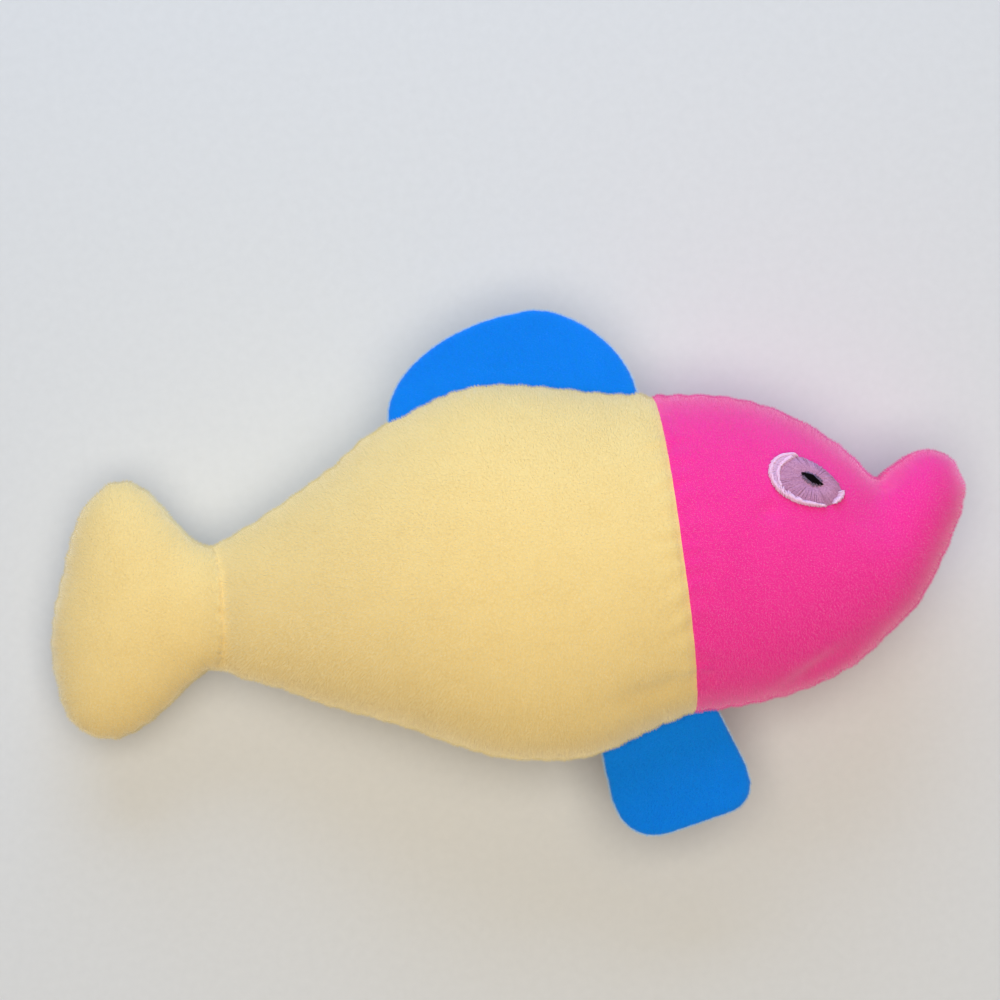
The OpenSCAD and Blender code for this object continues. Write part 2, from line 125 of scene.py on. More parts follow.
def points(mesh):
    """The places of a mesh's vertices, one to a row."""
    co = np.empty(len(mesh.vertices) * 3, np.float64)
    mesh.vertices.foreach_get("co", co)
    return co.reshape(-1, 3)


def put_points(mesh, co):
    """Moves a mesh's vertices to new places."""
    mesh.vertices.foreach_set("co", co.astype(np.float32).ravel())
    mesh.update()


def normals(mesh):
    """The directions that a mesh's vertices face, one to a row."""
    no = np.empty(len(mesh.vertices) * 3, np.float32)
    mesh.vertex_normals.foreach_get("vector", no)
    return no.reshape(-1, 3).astype(np.float64)


def bell(gap, wide):
    """1 where the gap is nothing, falling away smoothly as it passes that width."""
    return np.exp(-(gap / wide) ** 2)


def eased(x, a, b):
    """A smooth curve from one point to another, each with its place, height and slope."""
    (x0, z0, m0), (x1, z1, m1) = a, b
    w = x1 - x0
    t = np.clip((x - x0) / w, 0, 1)
    r = 1 - t
    return z0 * r * r * (1 + 2 * t) + z1 * t * t * (3 - 2 * t) + w * (m0 * t * r * r - m1 * t * t * r)


def seam_level(x):
    """Height of the outline seam over the table: level under the body and head, falling to the tail."""
    tail, waist, wide = (TAIL_END, TAIL_Z, 0.05), (WAIST, WAIST_Z, 0.13), (0.0, SEAM_Z, 0.0)
    return np.where(x < WAIST, eased(x, tail, waist), eased(x, waist, wide))


def neck_line(co):
    """Where the neck seam runs: it bows to the snout on the sides and leans to the tail at the back."""
    bow, lean, lean_from = 0.0014, 0.0011, 0.045
    side = np.clip(np.abs(co[:, 2] - SEAM_Z) / SEAM_Z, 0, 1)
    back = np.clip((co[:, 1] + lean_from) / lean_from, 0, 1)
    return NECK + bow * side - lean * back


def waist_line(co):
    """Where the waist seam runs: it leans with the tail and bows to the body on the sides."""
    bow, lean, set_back, half_thick = 0.0036, 0.07, 0.0008, 0.0125
    side = np.clip(np.abs(co[:, 2] - WAIST_Z) / half_thick, 0, 1)
    return WAIST - set_back + lean * co[:, 1] + bow * side


def tailward(x):
    """0 on the body and 1 on the tail, with a soft step just behind the waist."""
    behind, step = 0.006, 0.012
    return np.clip((WAIST - behind - x) / step, 0, 1)


def drawn_in(co):
    """Where points of the stuffed toy end up with its seams pulled tight, drawn in here and let out there."""
    co = co.copy()
    mouth, mouth_wide, mouth_deep, mouth_from = 0.1037, 0.0038, 0.0024, 0.004
    pinch_behind, pinch_wide, pinch_deep = 0.0020, 0.0040, 0.0011
    behind_waist = waist_line(co) - co[:, 0]
    at_rim = bell(co[:, 2] - seam_level(co[:, 0]), 0.009)
    corner = bell(co[:, 0] - mouth, mouth_wide) * at_rim * (co[:, 1] > mouth_from)
    pinch = bell(behind_waist - pinch_behind, pinch_wide) * at_rim
    co[:, 1] -= mouth_deep * corner + pinch_deep * pinch * np.sign(co[:, 1])
    # Each row is a place on the outline, how wide the pull on it is, and how far it goes along and across.
    for x, y, reach, out_x, out_y in (
        (0.0950, -0.0420, 0.0120, 0.0003, -0.0007),
        (0.0760, -0.0445, 0.0120, 0.0, -0.0006),
        (0.1028, -0.0325, 0.0070, -0.0003, 0.0004),
        (0.1110, -0.0224, 0.0080, 0.0004, -0.0004),
        (0.1270, 0.0040, 0.0080, 0.0005, 0.0),
        (0.1210, 0.0155, 0.0060, 0.0002, 0.0008),
        (0.0428, 0.0440, 0.0050, 0.0, 0.0006),
        (-0.0060, 0.0530, 0.0180, 0.0, 0.0010),
        (-0.0295, 0.0440, 0.0060, -0.0004, 0.0010),
        (-0.0360, 0.0400, 0.0060, -0.0006, 0.0009),
        (-0.0620, 0.0215, 0.0140, 0.0, 0.0005),
        (-0.0290, -0.0427, 0.0080, 0.0, 0.0004),
        (-0.0360, -0.0395, 0.0140, 0.0, 0.0009),
        (-0.0076, -0.0516, 0.0070, 0.0, -0.0007),
        (0.0150, -0.0520, 0.0160, 0.0, -0.0009),
        (-0.0560, -0.0290, 0.0120, 0.0, -0.0007),
        (-0.0740, -0.0200, 0.0080, 0.0, -0.0012),
        (-0.1230, 0.0140, 0.0130, 0.0016, -0.0002),
        (-0.1006, 0.0368, 0.0120, 0.0, 0.0007),
        (-0.1230, -0.0260, 0.0100, -0.0013, -0.0012),
    ):
        pull = np.exp(-((co[:, 0] - x) ** 2 + (co[:, 1] - y) ** 2) / reach ** 2)
        co[:, 0] += out_x * pull
        co[:, 1] += out_y * pull
    return co


# A sleeve over the narrow gap at the waist makes one bag of the body and the tail.
SLEEVE_BACK, SLEEVE_FRONT = WAIST - 0.001, WAIST + 0.0105
bag = copied(PANELS + FILLINGS)
sleeve = bmesh.new()
for v in bag.verts:
    if SLEEVE_BACK < v.co.x < SLEEVE_FRONT:
        sleeve.verts.new(v.co)
bmesh.ops.convex_hull(sleeve, input=sleeve.verts)
bmesh.ops.delete(sleeve, geom=[v for v in sleeve.verts if not v.link_faces], context="VERTS")
sleeve_mesh = bpy.data.meshes.new("sleeve")
sleeve.to_mesh(sleeve_mesh)
sleeve.free()
bag.from_mesh(sleeve_mesh)
bpy.data.meshes.remove(sleeve_mesh)
cover = laid_out("cover", bag)
remeshed(cover, 0.002)

# Only the outside of the bag is kept.
bm = bmesh.new()
bm.from_mesh(cover.data)
left, shells = set(bm.verts), []
while left:
    front = [left.pop()]
    shell = list(front)
    while front:
        near = [e.other_vert(v) for v in front for e in v.link_edges]
        front = [v for v in dict.fromkeys(near) if v in left]
        left.difference_update(front)
        shell += front
    shells.append(shell)
outside = max(shells, key=len)
for shell in shells:
    if shell is not outside:
        bmesh.ops.delete(bm, geom=shell, context="VERTS")
bm.to_mesh(cover.data)
bm.free()
evened(cover, 14)
# The thin tail is smoothed more, and let out by what that takes off it.
TAIL_LOSS = 0.0011
on_tail = cover.vertex_groups.new(name="tail")
for i, share in enumerate(tailward(points(cover.data)[:, 0])):
    on_tail.add([i], share, "REPLACE")
evened(cover, 30, "tail")
co = points(cover.data)
let_out = tailward(co[:, 0]) * TAIL_LOSS
put_points(cover.data, co + normals(cover.data) * let_out[:, None])

# The filling presses the cloth out between the seams, which hold. The bag is small and its mesh is fine, so
# the pressure is high: at 4, as in a cushion, the cloth would move by only 0.01 mm.
# The bag is drawn in a little first, held this near its seams, and no cloth may move further than this.
slack, held, furthest, frames = 0.0004, 0.0022, 0.003, 20
start = points(cover.data) - slack * normals(cover.data)
put_points(cover.data, start)
hold = cover.vertex_groups.new(name="seams")
gap = np.abs(start[:, 2] - seam_level(start[:, 0]))
for line in (neck_line, waist_line):
    gap = np.minimum(gap, np.abs(start[:, 0] - line(start)))
for i in np.flatnonzero(gap < held):
    hold.add([int(i)], 1.0, "REPLACE")
cloth = cover.modifiers.new("cloth", "CLOTH")
cloth.settings.quality = 5
cloth.settings.mass = 0.002
cloth.settings.tension_stiffness = 15
cloth.settings.compression_stiffness = 15
cloth.settings.bending_stiffness = 0.5
cloth.settings.use_pressure = True
cloth.settings.uniform_pressure_force = 300
cloth.settings.vertex_group_mass = "seams"
cloth.settings.effector_weights.gravity = 0
for number in range(1, frames + 1):
    scene.frame_set(number)
settled(cover)
scene.frame_set(1)
moved = points(cover.data) - start
reach = np.linalg.norm(moved, axis=1, keepdims=True)
moved *= np.minimum(1, furthest / np.maximum(reach, 1e-9))
put_points(cover.data, start + moved)
evened(cover, 3)
refined(cover, 1)

# Seams sink into the stuffed cloth and pucker it a little, and the cloth between them is softly lumpy.
SEAM_DEEP, SEAM_WIDE, NECK_DEEP, NECK_WIDE = 0.0007, 0.0016, 0.0008, 0.0012
PUCKER_STEP, PUCKER_DEEP, LUMP_HIGH, LET_OUT = 0.0062, 0.00028, 0.0006, 0.0002
co, no = points(cover.data), normals(cover.data)
rim = np.abs(co[:, 2] - seam_level(co[:, 0]))
neck = np.abs(co[:, 0] - neck_line(co))
run = np.where(np.abs(no[:, 1]) > 0.6, co[:, 0], co[:, 1])
wander = np.array([noise.noise(Vector(p * 60)) for p in co])  # puckers bend over about 17 mm
lumps = np.array([noise.noise(Vector(p * 22 + 7)) for p in co])  # lumps of about 45 mm
pucker = np.sin(run / PUCKER_STEP * math.tau + 5 * wander)
sink = SEAM_DEEP * bell(rim, SEAM_WIDE) + NECK_DEEP * bell(neck, NECK_WIDE)
sink += PUCKER_DEEP * pucker * (bell(rim, 0.005) + 0.7 * bell(neck, 0.006))
sink -= LUMP_HIGH * lumps + LET_OUT
# The tail's cover laps a little over the body's at the waist.
LAP_HIGH, LAP_DEEP = 0.0008, 0.0005
behind_waist = waist_line(co) - co[:, 0]
on_the_tail, on_the_body = -LAP_HIGH * bell(behind_waist, 0.006), LAP_DEEP * bell(behind_waist, 0.004)
lap = np.where(behind_waist > 0, on_the_tail, on_the_body)
sink += lap * np.clip(rim / 0.009, 0.15, 1)
# Soft dents of the near side: the middle of each, half its length and width, its turn and its depth.
near = no[:, 2] > 0.2
for x, y, long, wide, angle, depth in (
    (0.0717, 0.0073, 0.0032, 0.0024, 0, 0.0008),
    (0.0800, -0.0365, 0.0110, 0.0026, 28, 0.0010),
    (0.1010, 0.0020, 0.0120, 0.0070, -20, 0.0011),
    (0.1060, 0.0105, 0.0060, 0.0022, 35, 0.0007),
    (0.0370, -0.0370, 0.0130, 0.0035, 8, 0.0010),
):
    c, s = math.cos(math.radians(angle)), math.sin(math.radians(angle))
    u = (co[:, 0] - x) * c + (co[:, 1] - y) * s
    v = (co[:, 1] - y) * c - (co[:, 0] - x) * s
    sink += near * depth * np.exp(-(u / long) ** 2 - (v / wide) ** 2)
co -= no * sink[:, None]
co = drawn_in(co)
# The cloth lies flat where the toy rests, on a crushed pile.
CRUSHED_PILE = 0.0004
co[:, 2] = np.maximum(co[:, 2], CRUSHED_PILE)
put_points(cover.data, co)

# The bag is parted along the neck, the waist and the outline seam into its six panels.
bm = bmesh.new()
bm.from_mesh(cover.data)
for axis, line in ((0, neck_line), (0, waist_line), (2, lambda co: seam_level(co[:, 0]))):
    for sign in (-1, 1):
        at = line(np.array([v.co for v in bm.verts]))
        for v, level in zip(bm.verts, at):
            v.co[axis] += sign * level
        if sign < 0:
            across = Vector((axis == 0, 0, axis == 2))
            everything = bm.verts[:] + bm.edges[:] + bm.faces[:]
            bmesh.ops.bisect_plane(bm, geom=everything, dist=1e-8, plane_co=(0, 0, 0), plane_no=across)
middles = np.array([f.calc_center_median() for f in bm.faces])
part = np.where(middles[:, 0] < waist_line(middles), "tail", "body")
part = np.where(middles[:, 0] > neck_line(middles), "head", part)
side = np.where(middles[:, 2] > seam_level(middles[:, 0]), "near", "far")
whose = np.char.add(np.char.add(part, "_"), np.char.add(side, "_panel"))
bm.to_mesh(cover.data)
bm.free()
sheets = {}
for name in PANELS:
    bm = bmesh.new()
    bm.from_mesh(cover.data)
    bm.faces.ensure_lookup_table()
    others = [bm.faces[i] for i in np.flatnonzero(whose != name)]
    bmesh.ops.delete(bm, geom=others, context="FACES")
    sheets[name] = laid_out(name.replace("_panel", "_cover"), bm)
bpy.data.objects.remove(cover)


# The pile of the plush: short polyester fibre, cut even, in a few close tones of the same dye. Each tuft is
# a thin spike that stands in the cloth. It is combed to the tail on the body and head, and to the body on
# the tail.
def linear(hex_colour):
    """An sRGB hex colour as linear RGBA."""
    parts = [int(hex_colour[i:i + 2], 16) / 255 for i in (1, 3, 5)]
    return [c / 12.92 if c <= 0.04045 else ((c + 0.055) / 1.055) ** 2.4 for c in parts] + [1.0]


def add(tree, kind, inputs=None, **settings):
    """Adds a node to a tree, with its settings, values and links."""
    made = tree.nodes.new(kind)
    for key, value in settings.items():
        setattr(made, key, value)
    for key, value in (inputs or {}).items():
        if isinstance(value, bpy.types.NodeSocket):
            tree.links.new(value, made.inputs[key])
        else:
            made.inputs[key].default_value = value
    return made


def finish_of(name):
    """A new material: its tree, its surface shader and its Object coordinates."""
    material = bpy.data.materials.new(name)
    material.use_nodes = True
    tree = material.node_tree
    shader = tree.nodes["Principled BSDF"]
    coordinates = add(tree, "ShaderNodeTexCoord").outputs["Object"]
    return material, tree, shader, coordinates


def pile_tone(name, colour, sheen):
    """Dyed polyester pile: dull, with a pale sheen where it is seen along the tufts."""
    material = bpy.data.materials.new(name)
    material.use_nodes = True
    shader = material.node_tree.nodes["Principled BSDF"]
    shader.inputs["Base Color"].default_value = linear(colour)
    shader.inputs["Roughness"].default_value = 0.9
    shader.inputs["Specular IOR Level"].default_value = 0.15
    shader.inputs["Sheen Weight"].default_value = 0.7
    shader.inputs["Sheen Roughness"].default_value = 0.4
    shader.inputs["Sheen Tint"].default_value = linear(sheen)
    return material


def combed(sheet, name, tones, density, length, width, lean, seed, bare=None, edge=0.0):
    """A pile with that many tufts to the square metre of cloth, leaning one way, but none where it is bare.

    The tufts take the tones at random, and later ones of the list on the sheet's upright edge, where those
    paler tones are painted sheen.
    """
    swirls, patches = 70.0, 120.0  # to the metre: swirls of the nap 14 mm wide, patches of a tone 8 mm wide
    stray_most = Vector((0.4, 0.4, 0.4))
    crushed_under, upright_over = 0.0005, 0.003  # heights over the table
    tree = bpy.data.node_groups.new(name, "GeometryNodeTree")
    tree.interface.new_socket("Cloth", in_out="INPUT", socket_type="NodeSocketGeometry")
    tree.interface.new_socket("Pile", in_out="OUTPUT", socket_type="NodeSocketGeometry")
    cloth = add(tree, "NodeGroupInput").outputs["Cloth"]
    roots = add(
        tree, "GeometryNodeDistributePointsOnFaces", {"Mesh": cloth, "Density": density, "Seed": seed}
    )
    place = add(tree, "GeometryNodeInputPosition").outputs["Position"]
    swirl = add(tree, "ShaderNodeTexNoise", {"Vector": place, "Scale": swirls, "Detail": 2.0})
    swirl = add(
        tree, "ShaderNodeVectorMath", {0: swirl.outputs["Color"], 1: (0.5, 0.5, 0.5)}, operation="SUBTRACT"
    )
    swirl = add(tree, "ShaderNodeVectorMath", {0: swirl.outputs["Vector"], "Scale": 0.3}, operation="SCALE")
    stray = add(
        tree, "FunctionNodeRandomValue", {0: -stray_most, 1: stray_most, "Seed": seed},
        data_type="FLOAT_VECTOR",
    )
    way = swirl.outputs["Vector"]
    for push in (stray.outputs[0], lean, roots.outputs["Normal"]):
        way = add(tree, "ShaderNodeVectorMath", {0: way, 1: push}, operation="ADD").outputs["Vector"]
    turn = add(tree, "FunctionNodeAlignRotationToVector", {"Vector": way}, axis="Z")
    level = add(tree, "ShaderNodeSeparateXYZ", {0: roots.outputs["Normal"]})
    level = add(tree, "ShaderNodeMath", {0: level.outputs["Z"]}, operation="ABSOLUTE")
    # Where the cloth turns upright at a sheet's edge, the tufts take the later, paler tones and stand a
    # little shorter: painted sheen.
    upright = add(
        tree, "ShaderNodeMapRange",
        {"Value": level.outputs["Value"], "From Min": 0.45, "From Max": 0.97, "To Min": edge, "To Max": 0.0},
    )
    tall = add(tree, "FunctionNodeRandomValue", {2: 0.6, 3: 1.15, "Seed": seed + 1}, data_type="FLOAT")
    tall = add(
        tree, "ShaderNodeMath", {0: upright.outputs["Result"], 1: -0.05, 2: tall.outputs[1]},
        operation="MULTIPLY_ADD",
    )
    height = add(tree, "ShaderNodeSeparateXYZ", {0: place})
    flat = add(
        tree, "ShaderNodeMapRange",
        {"Value": height.outputs["Z"], "From Min": crushed_under, "From Max": upright_over,
         "To Min": 0.15, "To Max": 1.0},
    )
    tall = add(
        tree, "ShaderNodeMath", {0: tall.outputs["Value"], 1: flat.outputs["Result"]}, operation="MULTIPLY"
    )
    tuft = add(
        tree, "GeometryNodeMeshCone",
        {"Vertices": 3, "Radius Top": 0.0, "Radius Bottom": width / 2, "Depth": length}, fill_type="NONE",
    )
    pile = add(
        tree, "GeometryNodeInstanceOnPoints",
        {"Points": roots.outputs["Points"], "Instance": tuft.outputs["Mesh"],
         "Rotation": turn.outputs["Rotation"], "Scale": tall.outputs["Value"]},
    )
    patch = add(tree, "ShaderNodeTexNoise", {"Vector": place, "Scale": patches, "Detail": 3.0})
    mixed = add(tree, "FunctionNodeRandomValue", {2: -0.22, 3: 0.22, "Seed": seed + 2}, data_type="FLOAT")
    shade = add(tree, "ShaderNodeMath", {0: patch.outputs["Fac"], 1: mixed.outputs[1]}, operation="ADD")
    shade = add(
        tree, "ShaderNodeMapRange",
        {"Value": shade.outputs["Value"], "From Min": 0.25, "From Max": 0.75, "To Min": 0.0, "To Max": 2.0},
    )
    shade = add(
        tree, "ShaderNodeMath", {0: shade.outputs["Result"], 1: upright.outputs["Result"]}, operation="ADD"
    )
    shade = add(tree, "ShaderNodeMath", {0: shade.outputs["Value"], 1: len(tones) - 1.0}, operation="MINIMUM")
    marked = add(
        tree, "GeometryNodeStoreNamedAttribute",
        {"Geometry": pile.outputs["Instances"], "Name": "tone", "Value": shade.outputs["Value"]},
        data_type="INT", domain="INSTANCE",
    )
    marked = add(
        tree, "GeometryNodeStoreNamedAttribute",
        {"Geometry": marked.outputs["Geometry"], "Name": "stand", "Value": roots.outputs["Normal"]},
        data_type="FLOAT_VECTOR", domain="INSTANCE",
    )
    pile = add(tree, "GeometryNodeRealizeInstances", {"Geometry": marked.outputs["Geometry"]})
    # Light sinks into a dense pile, so the tufts are shaded mostly as the cloth that they stand on.
    stand = add(tree, "GeometryNodeInputNamedAttribute", {"Name": "stand"}, data_type="FLOAT_VECTOR")
    own = add(tree, "GeometryNodeInputNormal").outputs["Normal"]
    lit = add(
        tree, "ShaderNodeVectorMath", {0: own, 1: (0.15, 0.15, 0.15), 2: stand.outputs["Attribute"]},
        operation="MULTIPLY_ADD",
    )
    lit = add(tree, "ShaderNodeVectorMath", {0: lit.outputs["Vector"]}, operation="NORMALIZE")
    pile = add(
        tree, "GeometryNodeSetMeshNormal",
        {"Mesh": pile.outputs["Geometry"], "Custom Normal": lit.outputs["Vector"]},
        mode="FREE", domain="POINT",
    )
    tone = add(tree, "GeometryNodeInputNamedAttribute", {"Name": "tone"}, data_type="INT")
    pile = add(
        tree, "GeometryNodeSetMaterialIndex",
        {"Geometry": pile.outputs["Mesh"], "Material Index": tone.outputs["Attribute"]},
    )
    add(tree, "NodeGroupOutput", {"Pile": pile.outputs["Geometry"]})
    bm = bmesh.new()
    bm.from_mesh(sheet.data)
    if bare:
        bmesh.ops.delete(bm, geom=[f for f in bm.faces if bare(f.calc_center_median())], context="FACES")
    obj = laid_out(name, bm)
    obj.modifiers.new("pile", "NODES").node_group = tree
    settled(obj)
    for extra in [a.name for a in obj.data.attributes if a.name in ("tone", "stand", "UVMap")]:
        obj.data.attributes.remove(obj.data.attributes[extra])
    which = np.empty(len(obj.data.polygons), np.int32)
    obj.data.polygons.foreach_get("material_index", which)
    obj.data.materials.clear()
    for material in tones:
        obj.data.materials.append(material)
    obj.data.polygons.foreach_set("material_index", which)
    # Light passes through fibres as fine as these, so the tufts throw no shadow.
    obj.visible_shadow = False
    return obj


CREAM_PILE = [
    pile_tone("cream_polyester_pile_deep", "#d8c898", "#ffffff"),
    pile_tone("cream_polyester_pile", "#dccda0", "#ffffff"),
    pile_tone("cream_polyester_pile_pale", "#e2d4aa", "#ffffff"),
]
PINK_PILE = [
    pile_tone("pink_polyester_pile_deep", "#e25ca0", "#ffe6f6"),
    pile_tone("pink_polyester_pile", "#e565a6", "#ffe6f6"),
    pile_tone("pink_polyester_pile_pale", "#e870ac", "#ffe6f6"),
]


def plush_back(name, deep, pale):
    """Knitted polyester backing: fine loops, seen only between the tufts, and a dye with soft blotches."""
    loops_to_metre, blotches_to_metre = 1400.0, 90.0  # loops 0.7 mm apart, blotches 11 mm wide
    material, tree, shader, coordinates = finish_of(name)
    loops = add(tree, "ShaderNodeTexVoronoi", {"Vector": coordinates, "Scale": loops_to_metre})
    blotch = add(
        tree, "ShaderNodeTexNoise", {"Vector": coordinates, "Scale": blotches_to_metre, "Detail": 4.0}
    )
    both = add(
        tree, "ShaderNodeMath", {0: loops.outputs["Distance"], 1: blotch.outputs["Fac"]}, operation="MULTIPLY"
    )
    dye = add(tree, "ShaderNodeValToRGB", {"Fac": both.outputs["Value"]})
    dye.color_ramp.elements[0].color = linear(pale)
    dye.color_ramp.elements[1].color = linear(deep)
    dye.color_ramp.elements[1].position = 0.55
    tree.links.new(dye.outputs["Color"], shader.inputs["Base Color"])
    bump = add(
        tree, "ShaderNodeBump", {"Height": loops.outputs["Distance"], "Strength": 0.15, "Distance": 0.0003}
    )
    tree.links.new(bump.outputs["Normal"], shader.inputs["Normal"])
    shader.inputs["Roughness"].default_value = 0.95
    shader.inputs["Sheen Weight"].default_value = 0.8
    shader.inputs["Sheen Roughness"].default_value = 0.45
    shader.inputs["Specular IOR Level"].default_value = 0.1
    return material


CREAM_BACK = plush_back("cream_knitted_plush_back", "#e8ca84", "#efd490")
PINK_BACK = plush_back("pink_knitted_plush_back", "#ea2d92", "#f2359a")

# The eyes are embroidered, which presses the pile flat under them, so no tufts stand there.
EYE = Vector((0.0828, 0.0138))
EYE_TURN = math.radians(-30)
EYE_LONG, EYE_WIDE = 0.0212, 0.0128
EYE_TAPER, EYE_TOP = 0.13, 0.89  # it narrows to the front, and its upper edge is a little flat


def narrowed(along, above):
    """The share of its full width that an eye has at a place along it, above or below its middle."""
    return (1 - EYE_TAPER * along) * (EYE_TOP if above else 1)


def in_eye(point):
    """A point's place in an eye, from its centre: 1 on the rim in front, above, behind and below."""
    u, v = point[0] - EYE.x, point[1] - EYE.y
    along = (u * math.cos(EYE_TURN) + v * math.sin(EYE_TURN)) / (EYE_LONG / 2)
    across = (v * math.cos(EYE_TURN) - u * math.sin(EYE_TURN)) / (EYE_WIDE / 2)
    return along, across / narrowed(along, across > 0)


def thickened(sheet, thick):
    """Gives a sheet of cloth its thickness, inwards, with crisp edges where it is cut."""
    bm = bmesh.new()
    bm.from_mesh(sheet.data)
    bmesh.ops.solidify(bm, geom=bm.faces[:], thickness=thick)
    bm.to_mesh(sheet.data)
    bm.free()
    sheet.data.set_sharp_from_angle(angle=math.radians(60))


# Tufts to the square metre, a tuft's size, and the nap: to the tail, and a little to the belly. The body's
# pile is made in a front and a rear stretch, because only the rear one bends with the waist.
TUFTS = 7.2e6
TUFT_LONG, TUFT_WIDE = 0.0010, 0.00010
NAP = Vector((-0.3, -0.08, 0.0))
MIDDLE = -0.004
BACKING = 0.0011
surfaces = {}
for seed, (name, sheet) in enumerate(sheets.items()):
    part, where, _ = name.split("_")
    surfaces[name] = BVHTree.FromPolygons(
        [v.co.copy() for v in sheet.data.vertices], [list(p.vertices) for p in sheet.data.polygons]
    )
    tones, back, slot = CREAM_PILE, CREAM_BACK, "cream_plush"
    if part == "head":
        tones, back, slot = PINK_PILE, PINK_BACK, "pink_plush"
    piles = [
        combed(
            sheet, f"{part}_{where}_{stretch}pile", tones, TUFTS, TUFT_LONG, TUFT_WIDE,
            -NAP if part == "tail" else NAP, seed,
            bare={
                "": lambda point: part == "head" and Vector(in_eye(point)).length < 0.95,
                "front_": lambda point: point.x < MIDDLE,
                "rear_": lambda point: point.x >= MIDDLE,
            }[stretch],
        )
        for stretch in (("front_", "rear_") if part == "body" else ("",))
    ]
    thickened(sheet, BACKING)
    sheet.data.materials.append(back)
    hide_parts(name)
    for piece in (sheet, *piles):
        if part == "head" or "front" in piece.name:
            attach(piece, "body")
        else:
            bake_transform(piece, "body", "tail", start=(-0.070, 0, 0.023), end=(-0.092, 0, 0.023))

# The fins: two layers of short blue velour each, cut alike, sewn round the edge and caught in the seam
# between the panels. They aren't stuffed, so they stay flat and limp and fold over at the seam.
BLUE_PILE = [
    pile_tone("blue_velour_pile_deep", "#0080da", "#4fb0ff"),
    pile_tone("blue_velour_pile", "#0486de", "#4fb0ff"),
    pile_tone("blue_velour_pile_pale", "#0c8ce2", "#6cc0ff"),
    # The last two tones are painted sheen on the rim, where the cloth turns upright, and the last also stands
    # for the pale fringe of the cut edge.
    pile_tone("blue_velour_rim_painted_sheen", "#62afe6", "#c0e0ff"),
    pile_tone("blue_velour_cut_edge_and_sheen", "#a6c8e2", "#f0f8ff"),
]
BLUE_BACK = plush_back("blue_knitted_velour_back", "#007eda", "#0085e0")
FIN_HALF, LAYER = 0.0015, 0.0009  # half the thickness of the two layers with their pile, and one backing
SEWN_IN, SEWN_SPREAD = 0.0026, 0.012  # depth of the part in the seam, and how much longer it is, as a share
TRIMMED, STRETCH_OVER = 0.0001, 0.015  # taken off the edge all round, and the length that stretches
FREE_FROM_SEAM, WAVE_HIGH, RIPPLE_HIGH = 0.02, 0.0008, 0.0006  # how the limp cloth waves past the seam
VELOUR_TUFTS = 18e6
VELOUR_LONG, VELOUR_WIDE = 0.0009, 0.0001
VELOUR_NAP = (-0.3, -0.2, 0.0)
FOLD_HALF = 0.003  # the cloth bends over this much to either side of the fold

# Each fin: the middle of its fold, the way it points, and how much the edge by the head is stretched.
for fin, fold, out, stretch in (
    ("back_fin", Vector((0, 0.0533, SEAM_Z)), Vector((0, 1, 0)), 0.0007),
    ("belly_fin", Vector((0.0373429, -0.0530574, SEAM_Z)), Vector((0.230969, -0.972961, 0)), 0.0009),
):
    slab = copied([f"{fin}_near_layer"])
    for v in slab.verts:
        v.co.z = SEAM_Z + (FIN_HALF if v.co.z > SEAM_Z + FIN_HALF / 2 else -FIN_HALF)
    sewn_in = bmesh.ops.duplicate(slab, geom=slab.verts[:] + slab.edges[:] + slab.faces[:])["geom"]
    along = Vector((out.y, -out.x, 0))
    for v in [g for g in sewn_in if isinstance(g, bmesh.types.BMVert)]:
        v.co += SEWN_SPREAD * along * (v.co - fold).dot(along) - SEWN_IN * out
    slab = laid_out(fin, slab)
    remeshed(slab, 0.0008)
    evened(slab, 8)
    co, no = points(slab.data), normals(slab.data)
    co[:, :2] -= TRIMMED * no[:, :2]
    co[:, 0] += stretch * np.clip((co[:, 0] - fold.x) / STRETCH_OVER, 0, 1)
    put_points(slab.data, co)
    evened(slab, 4)
    for where, up in (("near", 1), ("far", -1)):
        bm = bmesh.new()
        bm.from_mesh(slab.data)
        everything = bm.verts[:] + bm.edges[:] + bm.faces[:]
        bmesh.ops.bisect_plane(
            bm, geom=everything, dist=1e-7, plane_co=fold, plane_no=(0, 0, up), clear_inner=True
        )
        for v in bm.verts:
            free = min(max((v.co - fold).dot(out) / FREE_FROM_SEAM, 0), 1)
            v.co.z += free * (WAVE_HIGH * math.sin(v.co.x * 130 + 1) + RIPPLE_HIGH * noise.noise(v.co * 45))
        layer = laid_out(f"{fin}_{where}_cloth", bm)
        # The fin's rim takes the paler last tones: painted sheen, with the pale fringe of the cut edge.
        pile = combed(
            layer, f"{fin}_{where}_pile", BLUE_PILE, VELOUR_TUFTS, VELOUR_LONG, VELOUR_WIDE, VELOUR_NAP,
            20 + up, edge=4.2,
        )
        thickened(layer, LAYER)
        layer.data.materials.append(BLUE_BACK)
        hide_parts(f"{fin}_{where}_layer")
        for piece in (layer, pile):
            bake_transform(piece, "body", fin, start=fold - FOLD_HALF * out, end=fold + FOLD_HALF * out)
    bpy.data.objects.remove(slab)


# The eyes: machine embroidery in shiny rayon floss. Lilac-white stitches run out from the pupil, a satin
# border of white ones is thick at the rear end, and the pupil is a lens of black ones with a grey fringe.
def floss(name, deep, pale, rough, gloss=0.3):
    """Rayon floss: a soft gloss along the thread, with the fine twist of its two plies."""
    twists_to_metre = 2600.0  # 0.4 mm to a turn
    material, tree, shader, coordinates = finish_of(name)
    twist = add(tree, "ShaderNodeTexNoise", {"Vector": coordinates, "Scale": twists_to_metre, "Detail": 2.0})
    dye = add(tree, "ShaderNodeValToRGB", {"Fac": twist.outputs["Fac"]})
    dye.color_ramp.elements[0].color = linear(deep)
    dye.color_ramp.elements[0].position = 0.3
    dye.color_ramp.elements[1].color = linear(pale)
    dye.color_ramp.elements[1].position = 0.7
    tree.links.new(dye.outputs["Color"], shader.inputs["Base Color"])
    shader.inputs["Roughness"].default_value = rough
    shader.inputs["Specular IOR Level"].default_value = gloss
    return material


